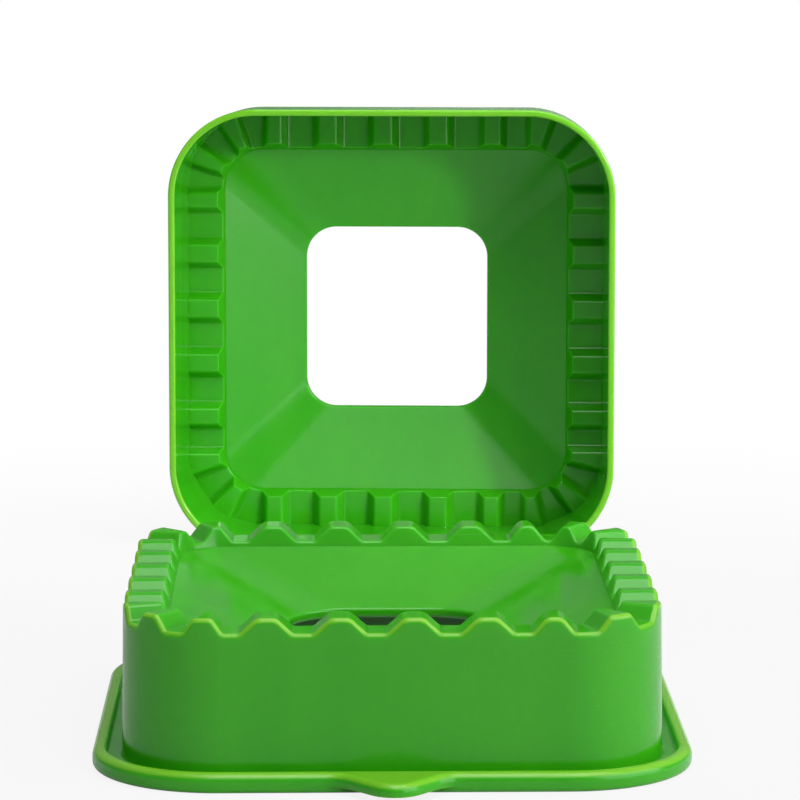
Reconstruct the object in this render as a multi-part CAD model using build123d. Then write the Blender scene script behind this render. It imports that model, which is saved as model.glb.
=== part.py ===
from build123d import *

import os
from math import cos, degrees, hypot, pi, tan

# Lengths are in millimetres and angles in degrees.
# The origin is the centre of the base's underside, +Z is up and -Y is the front.

# Both shells
WALL = 1.8
OVERRUN = 1.0

# Crimping base, its wall
WALL_SIDE = 90.0
WALL_CORNER = 16.0
WALL_DRAFT = 0.8
BASE_HEIGHT = 28.0

# Crimping wave along the top, given once for both shells
WAVE_DEPTH = 2.56
WAVE_PITCH = 12.1
WAVE_LEAD = 2.1
WAVE_TAIL = 7.5
CORNER_PITCH = 9.3
CREST_ROUND_SHARE = 0.16
CORNER_CREST_SHARE = 0.12
VALLEY_ROUND = 0.9
BASE_EDGE_ROUND = 0.8
VALLEY_SHARE = 0.25
VALLEY_FLANK_SHARE = 0.227

# Crimping base, its bowl and the hole in it
LAND_WIDTH = 6.5
LAND_SLANT = 1.0
LAND_STEP = 0.9
LAND_ROUND = 0.6
HOLE_SIDE = 35.0
HOLE_CORNER = 10.0
HOLE_DROP = 11.1
HOLE_ROUND = 0.6

# Crimping base, its tray flange and finger tab
FLANGE_THICK = 1.8
GROOVE_WIDTH = 2.65
LIP_THICK = 2.3
LIP_HEIGHT = 3.3
LIP_OUTER_ROUND = 1.4
LIP_INNER_ROUND = 0.45
GROOVE_ROUND = 0.4
FLANGE_FOOT_ROUND = 1.0
TAB_WIDTH = 17.8
TAB_POINT = 10.2
TAB_ROUND = 5.0
TAB_STEP = 0.2

# Cutter frame, its skirt
CRIMP_CLEARANCE = 0.42
MOUTH_CLEARANCE = 0.9
SKIRT_LIP = 1.35
SKIRT_DRAFT = 1.5
PRESS_GAP = 1.0
SKIRT_LIP_ROUND = 0.4
SHOULDER_ROUND = 2.4

# Cutter frame, its teeth, funnel and window
CUTTER_LAND = 6.5
CUTTER_SLANT = 1.4
CUTTER_STEP = 1.1
RECESS_SHARE = 0.281
RECESS_FLANK_SHARE = 0.116
CUTTER_WAVE_ROUND = 0.85
CUTTER_EDGE_ROUND = 0.25
WINDOW_SIDE = 40.0
WINDOW_CORNER = 6.6
WINDOW_RISE = 8.1
WINDOW_ROUND = 0.5

# Where the cutter frame stands: on its side wall, behind the base, with its mouth to the front
STAND_BACK = 160.0
STAND_RIGHT = 2.9
STAND_TURN = -3.0

# Places that follow
CENTRE = WALL_SIDE / 2 - WALL_CORNER
WALL_HALF = WALL_SIDE / 2
WALL_FOOT_HALF = WALL_HALF + BASE_HEIGHT * tan(pi / 180 * WALL_DRAFT)
VALLEY_LEVEL = BASE_HEIGHT - WAVE_DEPTH
CREST_HALF = WALL_HALF - LAND_WIDTH
LAND_HALF = CREST_HALF - LAND_SLANT
BOWL_TOP = VALLEY_LEVEL - LAND_STEP
HOLE_LEVEL = BASE_HEIGHT - HOLE_DROP
BOWL_FALL = (BOWL_TOP - HOLE_LEVEL) / (LAND_HALF - HOLE_SIDE / 2)
FLANGE_HALF = WALL_FOOT_HALF + GROOVE_WIDTH + LIP_THICK
GROOVE_HALF = FLANGE_HALF - LIP_THICK

RECESS_LEVEL = BASE_HEIGHT + PRESS_GAP - FLANGE_THICK
TOOTH_LEVEL = RECESS_LEVEL - WAVE_DEPTH
CRIMP_HALF = WALL_HALF + CRIMP_CLEARANCE
MOUTH_HALF = WALL_FOOT_HALF + MOUTH_CLEARANCE
SKIRT_HALF = MOUTH_HALF + SKIRT_LIP
SHOULDER_LEVEL = RECESS_LEVEL + WALL
TOOTH_HALF = CRIMP_HALF - CUTTER_LAND
CUTTER_LAND_HALF = TOOTH_HALF - CUTTER_SLANT
FUNNEL_START = RECESS_LEVEL + CUTTER_STEP
WINDOW_LEVEL = RECESS_LEVEL + WINDOW_RISE
FUNNEL_RISE = (WINDOW_LEVEL - FUNNEL_START) / (CUTTER_LAND_HALF - WINDOW_SIDE / 2)
SHOULDER_HALF = SKIRT_HALF - SHOULDER_LEVEL * tan(pi / 180 * SKIRT_DRAFT)

# The wave runs along this line, given by its distance out from the square of the corner centres
WAVE_REACH = (WALL_HALF + LAND_HALF) / 2 - CENTRE
QUARTER_LAP = 2 * CENTRE + pi / 2 * WAVE_REACH


def value_at(level, first, first_value, second, second_value):
    """What a size is at a level, where it changes steadily through two others."""
    return first_value + (second_value - first_value) * (level - first) / (second - first)


def block(low, low_half, high, high_half):
    """A rounded square block with drafted sides, whose corner arcs keep one centre."""
    outlines = [
        Pos(0, 0, level) * RectangleRounded(2 * half, 2 * half, half - CENTRE)
        for level, half in ((low, low_half), (high, high_half))
    ]
    return loft(outlines, ruled=True)


def window(side, corner, low, high):
    """A straight rounded square opening."""
    return extrude(Pos(0, 0, low) * RectangleRounded(side, side, corner), high - low)


def funnel(first, second, levels):
    """A smooth funnel through two rounded squares, run on in straight lines to two levels.

    Each square is given by its level, its half width and its corner radius.
    """
    outlines = []
    for level in levels:
        half, corner = [
            value_at(level, first[0], first_value, second[0], second_value)
            for first_value, second_value in zip(first[1:], second[1:])
        ]
        outlines.append(Pos(0, 0, level) * RectangleRounded(2 * half, 2 * half, corner))
    return loft(outlines, ruled=True)


def valley_marks():
    """Where the wave's valleys lie, as distances run round the shell, one side and one corner at a time.

    A side's first and last valleys keep their distance from its corners. Opposite sides match along X
    or Y, and the corners are divided evenly between their neighbours.
    """
    run = 2 * CENTRE - WAVE_LEAD - WAVE_TAIL
    steps = max(round(run / WAVE_PITCH), 1)
    forward = [WAVE_LEAD - CENTRE + run * step / steps for step in range(steps + 1)]
    backward = [-offset for offset in reversed(forward)]
    sides = [
        [QUARTER_LAP * number + CENTRE + offset for offset in offsets]
        for number, offsets in enumerate((forward, forward, backward, backward))
    ]
    next_starts = [side[0] for side in sides[1:]] + [sides[0][0] + QUARTER_LAP * len(sides)]
    marks = []
    for side, next_start in zip(sides, next_starts):
        gap = next_start - side[-1]
        count = max(round(gap / CORNER_PITCH), 1)
        marks += side + [side[-1] + gap * step / count for step in range(1, count)]
    return marks


def gaps_between(marks):
    """The gap from each mark to the next, all the way round."""
    following = marks[1:] + [marks[0] + QUARTER_LAP * 4]
    return [after - mark for mark, after in zip(marks, following)]


def spot(mark):
    """The place at a mark, X outwards and Y along the wall, and whether it lies on a corner's arc."""
    number, rest = divmod(mark, QUARTER_LAP)
    quarter = Rot(0, 0, 90 * number)
    if rest <= 2 * CENTRE:
        return quarter * Pos(rest - CENTRE, -CENTRE, 0) * Rot(0, 0, -90), False
    swing = degrees((rest - 2 * CENTRE) / WAVE_REACH)
    return quarter * Pos(CENTRE, -CENTRE, 0) * Rot(0, 0, swing - 90), True


def notch(mark, gaps, wave, levels, reaches):
    """A cut across the land with a flat floor and sloping flanks, which narrows towards a corner's centre.

    The wave gives the levels of its floor and mouth, its half width at mid height and the run of one
    flank, both as shares of the gap to the neighbour on that side.
    """
    floor_level, mouth_level, width_share, flank_share = wave
    location, on_arc = spot(mark)
    points = {}
    for out, reach in enumerate(reaches):
        spread = reach / WAVE_REACH if on_arc else 1
        for up, level in enumerate(levels):
            lean = (level - floor_level) / (mouth_level - floor_level) - 1 / 2
            for along, gap in enumerate(gaps):
                half = gap * (width_share * spread + flank_share * lean)
                side = half if along else -half
                points[out, up, along] = (location * Pos(reach, side, level)).position
    loop = ((0, 0), (0, 1), (1, 1), (1, 0))
    quads = []
    for end in (0, 1):
        quads.append([points[end, first, second] for first, second in loop])
        quads.append([points[first, end, second] for first, second in loop])
        quads.append([points[first, second, end] for first, second in loop])
    return Solid(Shell([Face(Wire.make_polygon(quad)) for quad in quads]))


def round_floor(cut, level, radius):
    """A notch with the two long edges of its floor rounded."""
    floor_edges = cut.edges().filter_by_position(Axis.Z, level, level)
    return fillet(floor_edges.sort_by(SortBy.LENGTH)[-2:], radius)


def reach_of(point):
    """How far out a point lies from the square of the corner centres."""
    return hypot(max(abs(point.X) - CENTRE, 0), max(abs(point.Y) - CENTRE, 0))


def edges_of(solid, low, high, inner_half, outer_half, across=False):
    """Edges between two levels and two half widths: those that run along the wall, or those across it."""
    slack = WALL / 50
    chosen = []
    for edge in solid.edges():
        ends = (edge @ 0, edge @ 0.5, edge @ 1)
        reaches = [reach_of(point) for point in ends]
        heights = [point.Z for point in ends]
        if min(heights) < low - slack or max(heights) > high + slack:
            continue
        if min(reaches) < inner_half - CENTRE - slack or max(reaches) > outer_half - CENTRE + slack:
            continue
        if across == (max(reaches) - min(reaches) > LAND_WIDTH / 2):
            chosen.append(edge)
    return ShapeList(chosen)


def lies_on_corner(edge):
    """Whether the middle of an edge lies past a corner's centre both ways."""
    middle = edge @ 0.5
    return min(abs(middle.X), abs(middle.Y)) > CENTRE


def rim_edges(solid, side):
    """Edges of an opening in the middle, without the upright ones at its corners."""
    limit = side / 2 + WALL / 50
    chosen = []
    for edge in solid.edges():
        ends = (edge @ 0, edge @ 1)
        run = hypot(ends[1].X - ends[0].X, ends[1].Y - ends[0].Y)
        if run > WALL / 50 and all(max(abs(end.X), abs(end.Y)) < limit for end in ends):
            chosen.append(edge)
    return ShapeList(chosen)


def finger_tab():
    """The tab at the front: a rounded triangle, flush with the lip and clear of the table."""
    half = TAB_WIDTH / 2
    end = half + TAB_ROUND
    inside = -FLANGE_HALF + LIP_THICK / 2
    front = FilletPolyline(
        (-end, -FLANGE_HALF),
        (-half, -FLANGE_HALF),
        (0, -FLANGE_HALF - TAB_POINT),
        (half, -FLANGE_HALF),
        (end, -FLANGE_HALF),
        radius=TAB_ROUND,
    )
    back = Polyline((end, -FLANGE_HALF), (end, inside), (-end, inside), (-end, -FLANGE_HALF))
    lift = FLANGE_FOOT_ROUND + TAB_STEP
    return extrude(Pos(0, 0, lift) * make_face([front, back]), LIP_HEIGHT - lift)


def crimping_base():
    """The lower shell: tray flange, drafted wall, waved land and a bowl that falls to a hole."""
    land_underside = VALLEY_LEVEL - WALL
    flange = block(0, FLANGE_HALF, LIP_HEIGHT, FLANGE_HALF)
    flange -= block(FLANGE_THICK, GROOVE_HALF, LIP_HEIGHT + OVERRUN, GROOVE_HALF)
    outside = flange + finger_tab() + block(0, WALL_FOOT_HALF, BASE_HEIGHT, WALL_HALF)
    bowl_half = value_at(BASE_HEIGHT + OVERRUN, BOWL_TOP, LAND_HALF, BASE_HEIGHT, CREST_HALF)
    bowl = block(BOWL_TOP, LAND_HALF, BASE_HEIGHT + OVERRUN, bowl_half)
    land_square = (BOWL_TOP, LAND_HALF, LAND_HALF - CENTRE)
    hole_square = (HOLE_LEVEL, HOLE_SIDE / 2, HOLE_CORNER)
    cut_level = HOLE_LEVEL - OVERRUN * BOWL_FALL
    bowl += funnel(hole_square, land_square, (cut_level, BOWL_TOP))

    skin = WALL * hypot(1, BOWL_FALL)
    kept = Pos(0, 0, -skin) * funnel(hole_square, land_square, (cut_level, land_underside + OVERRUN + skin))
    under_walls = [
        value_at(level, 0, WALL_FOOT_HALF, BASE_HEIGHT, WALL_HALF) - WALL
        for level in (-OVERRUN, land_underside)
    ]
    hollow = block(-OVERRUN, under_walls[0], land_underside, under_walls[1]) - kept

    marks = valley_marks()
    gaps = gaps_between(marks)
    wave = (VALLEY_LEVEL, BASE_HEIGHT, VALLEY_SHARE, VALLEY_FLANK_SHARE)
    levels = (VALLEY_LEVEL, BASE_HEIGHT + OVERRUN)
    reaches = (LAND_HALF - CENTRE - OVERRUN, WALL_FOOT_HALF - CENTRE + OVERRUN)
    gap_pairs = zip(gaps[-1:] + gaps, gaps)
    valleys = [notch(mark, pair, wave, levels, reaches) for mark, pair in zip(marks, gap_pairs)]
    base = outside - bowl - hollow - window(HOLE_SIDE, HOLE_CORNER, 0, BASE_HEIGHT) - valleys

    valley_half = value_at(VALLEY_LEVEL, 0, WALL_FOOT_HALF, BASE_HEIGHT, WALL_HALF)
    tab_half = FLANGE_HALF + TAB_POINT
    valley_edges = edges_of(base, VALLEY_LEVEL, VALLEY_LEVEL, LAND_HALF, valley_half, across=True)
    base = fillet(valley_edges, VALLEY_ROUND)
    side_radius = WAVE_PITCH * CREST_ROUND_SHARE
    corner_radius = CORNER_PITCH * CORNER_CREST_SHARE
    for on_side, radius in ((True, side_radius), (False, corner_radius)):
        crests = edges_of(base, BASE_HEIGHT, BASE_HEIGHT, CREST_HALF, WALL_HALF, across=True)
        base = fillet(crests.filter_by(lies_on_corner, reverse=on_side), radius)
    base = fillet(edges_of(base, VALLEY_LEVEL, BASE_HEIGHT, WALL_HALF, valley_half), BASE_EDGE_ROUND)
    base = fillet(edges_of(base, VALLEY_LEVEL, BASE_HEIGHT, LAND_HALF, CREST_HALF), LAND_ROUND)
    base = fillet(rim_edges(base, HOLE_SIDE), HOLE_ROUND)
    base = fillet(edges_of(base, LIP_HEIGHT, LIP_HEIGHT, FLANGE_HALF, tab_half), LIP_OUTER_ROUND)
    base = fillet(edges_of(base, LIP_HEIGHT, LIP_HEIGHT, GROOVE_HALF, GROOVE_HALF), LIP_INNER_ROUND)
    base = fillet(edges_of(base, FLANGE_THICK, FLANGE_THICK, WALL_HALF, GROOVE_HALF), GROOVE_ROUND)
    return fillet(edges_of(base, 0, 0, FLANGE_HALF, FLANGE_HALF), FLANGE_FOOT_ROUND)


def cutter_frame():
    """The upper shell, mouth down: thin skirt, land with teeth for the valleys, funnel to a window."""
    land_square = (FUNNEL_START, CUTTER_LAND_HALF, CUTTER_LAND_HALF - CENTRE)
    window_square = (WINDOW_LEVEL, WINDOW_SIDE / 2, WINDOW_CORNER)
    peak = WINDOW_LEVEL + OVERRUN * FUNNEL_RISE
    skin = WALL * hypot(1, FUNNEL_RISE)
    roof = Pos(0, 0, skin) * funnel(land_square, window_square, (SHOULDER_LEVEL - OVERRUN - skin, peak))
    outside = block(0, SKIRT_HALF, SHOULDER_LEVEL, SHOULDER_HALF) + roof

    marks = valley_marks()
    gaps = gaps_between(marks)
    wave = (RECESS_LEVEL, TOOTH_LEVEL, RECESS_SHARE, RECESS_FLANK_SHARE)
    levels = (TOOTH_LEVEL - OVERRUN, RECESS_LEVEL)
    reaches = (CUTTER_LAND_HALF - CENTRE - OVERRUN, MOUTH_HALF - CENTRE + OVERRUN)
    cuts = [notch(mark + gap / 2, (gap, gap), wave, levels, reaches) for mark, gap in zip(marks, gaps)]
    recesses = [round_floor(cut, RECESS_LEVEL, CUTTER_WAVE_ROUND) for cut in cuts]
    land_top = RECESS_LEVEL + WALL / 2
    land = block(TOOTH_LEVEL, MOUTH_HALF, land_top + WALL / 4, MOUTH_HALF) - recesses
    cut_half = CUTTER_LAND_HALF - OVERRUN
    tooth_edges = edges_of(land, TOOTH_LEVEL, TOOTH_LEVEL, cut_half, MOUTH_HALF, across=True)
    land = fillet(tooth_edges, CUTTER_WAVE_ROUND)
    void_halves = [
        value_at(level, 0, MOUTH_HALF, RECESS_LEVEL, CRIMP_HALF)
        for level in (-OVERRUN, land_top)
    ]
    inside = block(-OVERRUN, void_halves[0], land_top, void_halves[1]) - land
    cut_level = TOOTH_LEVEL - OVERRUN
    opening_half = value_at(cut_level, TOOTH_LEVEL, TOOTH_HALF, FUNNEL_START, CUTTER_LAND_HALF)
    inside += block(cut_level, opening_half, FUNNEL_START, CUTTER_LAND_HALF)
    inside += funnel(land_square, window_square, (FUNNEL_START, peak))
    frame = outside - inside - window(WINDOW_SIDE, WINDOW_CORNER, RECESS_LEVEL, peak + skin + OVERRUN)

    inner_edges = edges_of(frame, TOOTH_LEVEL, RECESS_LEVEL, CUTTER_LAND_HALF, TOOTH_HALF)
    frame = fillet(inner_edges, CUTTER_EDGE_ROUND)
    frame = fillet(rim_edges(frame, WINDOW_SIDE), WINDOW_ROUND)
    shoulder_edges = edges_of(frame, SHOULDER_LEVEL, SHOULDER_LEVEL, SHOULDER_HALF, SHOULDER_HALF)
    frame = fillet(shoulder_edges, SHOULDER_ROUND)
    return fillet(edges_of(frame, 0, 0, MOUTH_HALF, SKIRT_HALF), SKIRT_LIP_ROUND)


def standing(frame):
    """The cutter frame on its back wall, which its draft lays flat, so the mouth leans back a little."""
    lift = SKIRT_HALF * cos(pi / 180 * SKIRT_DRAFT)
    upright = Rot(-90 - SKIRT_DRAFT, 0, 0) * frame
    return Pos(STAND_RIGHT, STAND_BACK, lift) * Rot(0, 0, STAND_TURN) * upright


os.makedirs("parts", exist_ok=True)
export_step(crimping_base(), "parts/crimping_base.step")
export_step(standing(cutter_frame()), "parts/cutter_frame.step")
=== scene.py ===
import math

import bpy
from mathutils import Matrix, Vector


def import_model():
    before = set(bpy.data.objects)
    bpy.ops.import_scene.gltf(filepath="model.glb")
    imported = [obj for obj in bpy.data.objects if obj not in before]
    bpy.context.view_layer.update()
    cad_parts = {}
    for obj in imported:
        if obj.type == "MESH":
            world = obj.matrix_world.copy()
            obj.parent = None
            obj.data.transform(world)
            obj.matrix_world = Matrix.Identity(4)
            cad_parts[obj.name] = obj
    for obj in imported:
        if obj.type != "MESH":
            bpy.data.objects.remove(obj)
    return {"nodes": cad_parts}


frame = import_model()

# Lengths are in metres, angles in degrees and lamps in watts, unless a name says otherwise.
# A share runs from nought to one. FROM and TO are where a soft step starts and ends.
MM = 0.001

# Camera, at the photograph's place and angle
CAMERA_PLACE = (-0.0108, -0.6818, 0.1597)
CAMERA_PITCH = 8.54
CAMERA_YAW = 1.06
LENS_MM = 179.1
SENSOR_MM = 36.0

# Green moulded plastic, its colours: as a whole, in its deeper clouds, and a paler green painted
# on its thin edges as the light that shines through them.
# The shares are how strongly the clouds and the flow marks lift GREEN_DEEP towards GREEN.
GREEN = (0.062, 0.470, 0.008, 1.0)
GREEN_DEEP = (0.022, 0.385, 0.005, 1.0)
GREEN_PAINTED_GLOW = (0.260, 0.590, 0.035, 1.0)
CLOUD_SHARE = 0.7
FLOW_SHARE = 0.5

# Green moulded plastic, its gloss and the light that soaks into it
PLASTIC_IOR = 1.47
ROUGHNESS = 0.17
ROUGHNESS_SPREAD = 0.10
SOAK = 0.75
SOAK_DEPTH = 3.0 * MM
SOAK_RADII = (0.85, 1.0, 0.15)

# Green moulded plastic, its clouds and flow marks, and the ripple and peel of its surface
CLOUD_SIZE = 34 * MM
FLOW_LENGTH = 60 * MM
FLOW_WIDTH = 7 * MM
RIPPLE_SIZE = 15 * MM
RIPPLE_HEIGHT = 0.05 * MM
PEEL_SIZE = 0.9 * MM
PEEL_HEIGHT = 0.0016 * MM
NOISE_MIDDLE = 0.5

# Green moulded plastic, its scuffs, which keep to some of the clouds
SCUFF_LENGTH = 26 * MM
SCUFF_WIDTH = 0.35 * MM
SCUFF_FROM = 0.70
SCUFF_TO = 0.76
SCUFF_CLOUD_FROM = 0.50
SCUFF_CLOUD_TO = 0.62
SCUFF_ROUGHNESS = 0.15

# Green moulded plastic, its dark specks
SPECK = (0.010, 0.060, 0.008, 1.0)
SPECK_SPACING = 9 * MM
SPECK_SIZE = 0.16 * MM
SPECK_SHARE = 0.8

# Crimping base, where a paler green is painted as light shining through its thin edges: heights,
# and reaches out from its corners' centres
CORNER_CENTRE = 29 * MM
CREST_LEVEL = 24 * MM
CREST_RISE = 2 * MM
CREST_REACH = 15.0 * MM
LIP_LEVEL = 2.4 * MM
LIP_REACH = 19.0 * MM
EDGE_FADE = 0.5 * MM
# Only faces turned upward get the painted light, as if it fell from above
UPWARD_FROM = 0.05
UPWARD_TO = 0.45
BASE_PAINTED_GLOW_SHARE = 0.7

# Cutter frame as it stands: a point in the plane of its mouth, and that plane's turn and lean, for
# a paler green painted along the mouth's thin edge as light shining through it
MOUTH_PLACE = (2.9 * MM, 160.0 * MM, 47.6 * MM)
MOUTH_TURN = -3.0
MOUTH_LEAN = 1.5
MOUTH_DEPTH = 1.3 * MM
MOUTH_PAINTED_GLOW_SHARE = 0.6

# Table: grey in soft light, mostly plain white where it is seen, and glowing white in reflections,
# faint on the left and strong on the right, as a painted reflection
FLOOR_SIDE = 14.0
FLOOR_GREY = (0.55, 0.55, 0.55, 1.0)
FLOOR_ROUGHNESS = 0.7
WHITE = (1.0, 1.0, 1.0, 1.0)
NEAR_SHARE = 0.86
FADE_FROM = 0.10
FADE_TO = 0.36
FLOOR_PAINTED_REFLECTION_LEFT = 0.15
FLOOR_PAINTED_REFLECTION_RIGHT = 0.90
GLOSS_FROM = -0.10
GLOSS_TO = 0.20

# Sky: brighter towards the top, dim on the left, and plain white where it is seen
SKY_TOP = (0.38, 0.38, 0.38, 1.0)
SKY_LOW = (0.11, 0.11, 0.11, 1.0)
SKY_LEFT = (0.09, 0.09, 0.09, 1.0)
SKY_UP_FROM = 0.0
SKY_UP_TO = 0.9
SKY_RIGHT_FROM = -0.8
SKY_RIGHT_TO = 0.2
SKY_GLOSS = 0.10

# Each softbox: its name, its place, the length of its sides, its watts and whether it makes glints
LAMPS = (
    ("key", (0.82, -0.42, 0.37), 1.10, 8.2, True),
    ("top", (0.10, -0.15, 0.85), 0.60, 3.5, True),
    ("front", (0.05, -0.60, 0.75), 0.50, 0.9, True),
    ("back", (-0.30, 0.75, 0.50), 0.70, 2.6, False),
)
LAMP_TARGET = (0.0, 0.06, 0.03)
SNOOT_PLACE = (0.45, -0.35, 0.28)
SNOOT_TARGET = (-0.01, 0.165, 0.05)
SNOOT_ANGLE = 17.0
SNOOT_BLEND = 0.6
SNOOT_SIDE = 0.06
SNOOT_WATTS = 8.2


class Value:
    """A shader socket that works in Python sums, each of which adds its Math nodes."""

    def __init__(self, graph, socket):
        self.graph = graph
        self.socket = socket

    def sum_with(self, operation, first, second):
        return self.graph.number("ShaderNodeMath", {"operation": operation}, {0: first, 1: second})

    def __add__(self, other):
        return self.sum_with("ADD", self, other)

    def __sub__(self, other):
        return self.sum_with("SUBTRACT", self, other)

    def __rsub__(self, other):
        return self.sum_with("SUBTRACT", other, self)

    def __mul__(self, other):
        return self.sum_with("MULTIPLY", self, other)

    __radd__ = __add__
    __rmul__ = __mul__


class Graph:
    """The node tree of one material or world."""

    def __init__(self, tree):
        self.tree = tree

    def feed(self, socket, item):
        """Gives a socket a plain value, or a link from a Value or another socket."""
        if isinstance(item, Value):
            item = item.socket
        if isinstance(item, bpy.types.NodeSocket):
            self.tree.links.new(item, socket)
        else:
            socket.default_value = item

    def node(self, kind, settings=None, sockets=None):
        """Any node: its type, its settings, then the values or links of its sockets."""
        made = self.tree.nodes.new(kind)
        for name, setting in (settings or {}).items():
            setattr(made, name, setting)
        for name, item in (sockets or {}).items():
            self.feed(made.inputs[name], item)
        return made

    def number(self, kind, settings=None, sockets=None):
        """A node whose first output is used as a number."""
        return Value(self, self.node(kind, settings, sockets).outputs[0])

    def step(self, value, low, high):
        """Nought below one value, one above the other, and a smooth rise between."""
        settings = {"interpolation_type": "SMOOTHSTEP"}
        sockets = {"Value": value, "From Min": low, "From Max": high}
        return self.number("ShaderNodeMapRange", settings, sockets)

    def stretched(self, point, sizes):
        """A place measured in the sizes of a pattern along X, Y and Z."""
        sockets = {"Vector": point, "Scale": tuple(1 / size for size in sizes)}
        return self.node("ShaderNodeMapping", {"vector_type": "POINT"}, sockets).outputs[0]

    def noise(self, point, sizes, detail):
        """Soft noise around one half, with cells of the given sizes along X, Y and Z."""
        sockets = {"Vector": self.stretched(point, sizes), "Scale": 1.0, "Detail": detail}
        return self.number("ShaderNodeTexNoise", None, sockets)

    def vector(self, operation, first, second=(0, 0, 0), output="Vector"):
        """A sum on one vector or two."""
        made = self.node("ShaderNodeVectorMath", {"operation": operation}, {0: first, 1: second})
        return made.outputs[output]

    def length(self, vector):
        """How long a vector is."""
        return Value(self, self.vector("LENGTH", vector, output="Value"))

    def dot(self, first, second):
        """How far one vector runs along another, which is one long."""
        return Value(self, self.vector("DOT_PRODUCT", first, second, output="Value"))

    def mixed(self, share, first, second):
        """One colour passing into another."""
        made = self.node("ShaderNodeMix", {"data_type": "RGBA"})
        self.feed(made.inputs["Factor"], share)
        # The node has a socket of each name for numbers, vectors and colours alike
        for name, colour in (("A", first), ("B", second)):
            socket = next(s for s in made.inputs if s.name == name and s.type == "RGBA")
            self.feed(socket, colour)
        return next(s for s in made.outputs if s.type == "RGBA")


def coordinates(graph, point):
    """The X, Y and Z of a place, as three numbers."""
    split = graph.node("ShaderNodeSeparateXYZ", None, {0: point})
    return [Value(graph, socket) for socket in split.outputs]


def base_painted_glow(graph, point):
    """Where light is painted onto the base as a paler green: along its crests' outer side and on
    its lip, on faces turned upward, as light shining through the thin plastic.
    """
    flat = graph.vector("MULTIPLY", graph.vector("ABSOLUTE", point), (1, 1, 0))
    beyond = graph.vector("SUBTRACT", flat, (CORNER_CENTRE, CORNER_CENTRE, 0))
    reach = graph.length(graph.vector("MAXIMUM", beyond, (0, 0, 0)))
    height = coordinates(graph, point)[2]
    upward = coordinates(graph, graph.node("ShaderNodeNewGeometry").outputs["Normal"])[2]
    crests = graph.step(height, CREST_LEVEL, CREST_LEVEL + CREST_RISE)
    crests = crests * graph.step(reach, CREST_REACH, CREST_REACH + EDGE_FADE)
    lip = graph.step(height, LIP_LEVEL, LIP_LEVEL + EDGE_FADE)
    lip = lip * graph.step(reach, LIP_REACH, LIP_REACH + EDGE_FADE)
    # Only faces turned upward get this painted light
    return (crests + lip) * graph.step(upward, UPWARD_FROM, UPWARD_TO) * BASE_PAINTED_GLOW_SHARE


def cutter_painted_glow(graph, point):
    """Where light is painted onto the cutter frame as a paler green: the thin edge of its mouth,
    as light shining through it.
    """
    turn, lean = math.radians(MOUTH_TURN), math.radians(MOUTH_LEAN)
    inward = (-math.sin(turn) * math.cos(lean), math.cos(turn) * math.cos(lean), -math.sin(lean))
    depth = graph.dot(graph.vector("SUBTRACT", point, MOUTH_PLACE), inward)
    return (1 - graph.step(depth, MOUTH_DEPTH / 2, MOUTH_DEPTH)) * MOUTH_PAINTED_GLOW_SHARE


def moulded_plastic(name, painted_glow):
    """Green plastic, glossy from the mould, with flow marks, a faint ripple, scuffs and specks,
    and a paler green painted where light shines through its thin edges.
    """
    material = bpy.data.materials.new(name)
    material.use_nodes = True
    graph = Graph(material.node_tree)
    shader = material.node_tree.nodes["Principled BSDF"]
    point = graph.node("ShaderNodeTexCoord").outputs["Object"]

    cloud = graph.noise(point, (CLOUD_SIZE, CLOUD_SIZE, CLOUD_SIZE), detail=2.0)
    flow = graph.noise(point, (FLOW_WIDTH, FLOW_WIDTH, FLOW_LENGTH), detail=3.0)
    scratchy = graph.noise(point, (SCUFF_LENGTH, SCUFF_WIDTH, SCUFF_WIDTH), detail=1.0)
    scuffs = graph.step(scratchy, SCUFF_FROM, SCUFF_TO)
    scuffs = scuffs * graph.step(cloud, SCUFF_CLOUD_FROM, SCUFF_CLOUD_TO)
    sockets = {"Vector": point, "Scale": 1 / SPECK_SPACING}
    speck_distance = graph.number("ShaderNodeTexVoronoi", {"feature": "F1"}, sockets)
    speck_reach = SPECK_SIZE / SPECK_SPACING
    specks = 1 - graph.step(speck_distance, speck_reach / 2, speck_reach)

    body = graph.mixed(cloud * CLOUD_SHARE + flow * FLOW_SHARE, GREEN_DEEP, GREEN)
    # A paler green is painted where light shines through the thin edges
    glow_painted = graph.mixed(painted_glow(graph, point), body, GREEN_PAINTED_GLOW)
    graph.feed(shader.inputs["Base Color"], graph.mixed(specks * SPECK_SHARE, glow_painted, SPECK))
    roughness = ROUGHNESS + (flow - NOISE_MIDDLE) * ROUGHNESS_SPREAD + scuffs * SCUFF_ROUGHNESS
    graph.feed(shader.inputs["Roughness"], roughness)

    ripple = graph.noise(point, (RIPPLE_SIZE, RIPPLE_SIZE, RIPPLE_SIZE), detail=0.0)
    peel = graph.noise(point, (PEEL_SIZE, PEEL_SIZE, PEEL_SIZE), detail=1.0)
    height = ripple * RIPPLE_HEIGHT + peel * PEEL_HEIGHT
    # The heights are already in metres, so the bump's own distance is one
    bump = graph.node("ShaderNodeBump", None, {"Height": height, "Distance": 1.0, "Strength": 1.0})
    graph.feed(shader.inputs["Normal"], bump.outputs["Normal"])

    shader.inputs["IOR"].default_value = PLASTIC_IOR
    shader.inputs["Subsurface Weight"].default_value = SOAK
    shader.inputs["Subsurface Radius"].default_value = SOAK_RADII
    shader.inputs["Subsurface Scale"].default_value = SOAK_DEPTH
    return material


def seen_share(graph, gloss_share):
    """One for what the camera sees, also through clear material, and a share for a gloss."""
    path = graph.node("ShaderNodeLightPath")
    names = ("Is Camera Ray", "Is Glossy Ray", "Is Transmission Ray")
    camera_ray, glossy_ray, clear_ray = (Value(graph, path.outputs[name]) for name in names)
    settings = {"operation": "MAXIMUM"}
    either = graph.number("ShaderNodeMath", settings, {0: camera_ray, 1: glossy_ray * gloss_share})
    return graph.number("ShaderNodeMath", settings, {0: either, 1: clear_ray})


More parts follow.
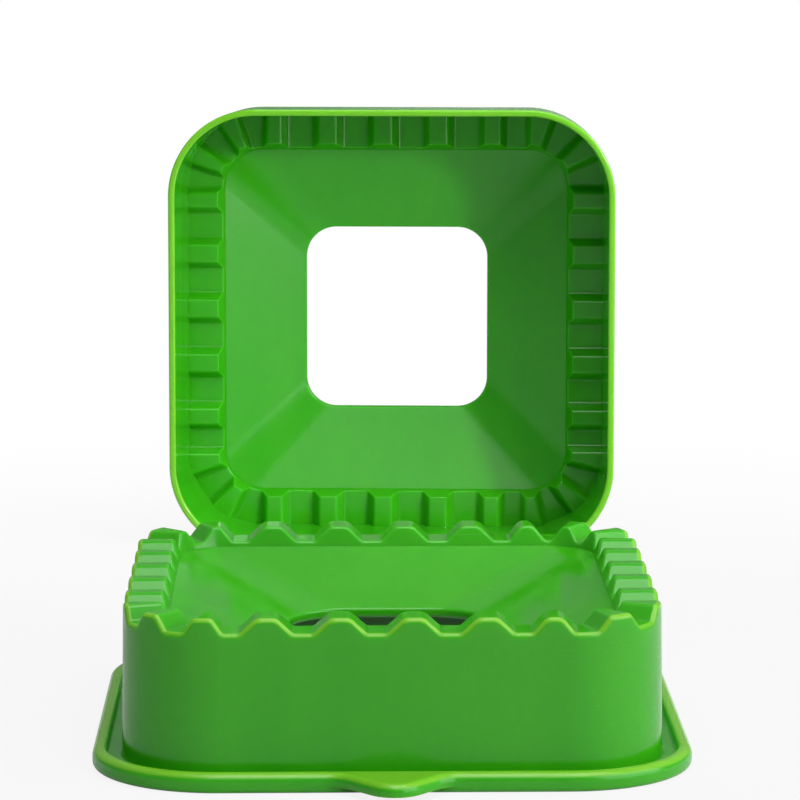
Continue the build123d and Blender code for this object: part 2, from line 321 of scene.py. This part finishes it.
def floor():
    """A white table that runs to the horizon: shadows near the object, plain white further off,
    and in reflections a white glow, strong on the right, as a painted reflection.
    """
    bpy.ops.object.select_all(action="DESELECT")
    bpy.ops.mesh.primitive_plane_add(size=FLOOR_SIDE, location=(0, 0, 0))
    plane = bpy.context.active_object
    plane.name = "floor"
    material = bpy.data.materials.new("white_table")
    material.use_nodes = True
    graph = Graph(material.node_tree)
    table = material.node_tree.nodes["Principled BSDF"]
    table.inputs["Base Color"].default_value = FLOOR_GREY
    table.inputs["Roughness"].default_value = FLOOR_ROUGHNESS
    glow = graph.node("ShaderNodeEmission", None, {"Color": WHITE, "Strength": 1.0})
    point = graph.node("ShaderNodeTexCoord").outputs["Object"]
    far = graph.step(graph.length(point), FADE_FROM, FADE_TO)
    # The table glows white in reflections, faint on the left and strong on the right: a painted
    # reflection that lays a sheen on the shells' right side
    right = graph.step(coordinates(graph, point)[0], GLOSS_FROM, GLOSS_TO)
    gloss_share = FLOOR_PAINTED_REFLECTION_LEFT + right * (FLOOR_PAINTED_REFLECTION_RIGHT - FLOOR_PAINTED_REFLECTION_LEFT)
    share = seen_share(graph, gloss_share) * (NEAR_SHARE + far * (1 - NEAR_SHARE))
    sockets = {0: share, 1: table.outputs[0], 2: glow.outputs[0]}
    mix = graph.node("ShaderNodeMixShader", None, sockets)
    graph.feed(material.node_tree.nodes["Material Output"].inputs["Surface"], mix.outputs[0])
    plane.data.materials.append(material)


def world():
    """Soft light from above, dimmer on the left, and white where it is seen."""
    made = bpy.data.worlds.new("studio")
    made.use_nodes = True
    graph = Graph(made.node_tree)
    right, _, up = coordinates(graph, graph.node("ShaderNodeTexCoord").outputs["Generated"])
    bright = graph.mixed(graph.step(up, SKY_UP_FROM, SKY_UP_TO), SKY_LOW, SKY_TOP)
    sky = graph.mixed(graph.step(right, SKY_RIGHT_FROM, SKY_RIGHT_TO), SKY_LEFT, bright)
    background = made.node_tree.nodes["Background"]
    graph.feed(background.inputs["Color"], graph.mixed(seen_share(graph, SKY_GLOSS), sky, WHITE))
    background.inputs["Strength"].default_value = 1.0
    bpy.context.scene.world = made


def hang(data, place, target, glints=True):
    """Puts a lamp at its place, facing its target."""
    made = bpy.data.objects.new(data.name, data)
    made.visible_glossy = glints
    made.location = place
    made.rotation_euler = (Vector(target) - Vector(place)).to_track_quat("-Z", "Y").to_euler()
    bpy.context.scene.collection.objects.link(made)


def softbox(name, place, side, watts, glints):
    """A soft square lamp that faces both shells."""
    data = bpy.data.lights.new(name, "AREA")
    data.size = side
    data.energy = watts
    hang(data, place, LAMP_TARGET, glints)


def snoot():
    """A narrow lamp that reaches only into the cutter frame's mouth."""
    data = bpy.data.lights.new("snoot", "SPOT")
    data.spot_size = math.radians(SNOOT_ANGLE)
    data.spot_blend = SNOOT_BLEND
    data.shadow_soft_size = SNOOT_SIDE / 2
    data.energy = SNOOT_WATTS
    hang(data, SNOOT_PLACE, SNOOT_TARGET)


def camera():
    """The camera, which sees the shells as the photograph does."""
    data = bpy.data.cameras.new("camera")
    data.lens = LENS_MM
    data.sensor_width = SENSOR_MM
    data.clip_end = FLOOR_SIDE
    made = bpy.data.objects.new("camera", data)
    made.location = CAMERA_PLACE
    made.rotation_euler = (math.radians(90 - CAMERA_PITCH), 0, math.radians(-CAMERA_YAW))
    bpy.context.scene.collection.objects.link(made)
    bpy.context.scene.camera = made


def dress(node_name, painted_glow):
    """Gives a solid of the frame its finished plastic, with light painted onto its thin edges."""
    part = frame["nodes"][node_name]
    part.data.materials.clear()
    part.data.materials.append(moulded_plastic(node_name + "_plastic", painted_glow))


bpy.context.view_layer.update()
camera()
floor()
world()
for lamp in LAMPS:
    softbox(*lamp)
snoot()
dress("crimping_base", base_painted_glow)
dress("cutter_frame", cutter_painted_glow)
bpy.context.scene.view_settings.view_transform = "Standard"
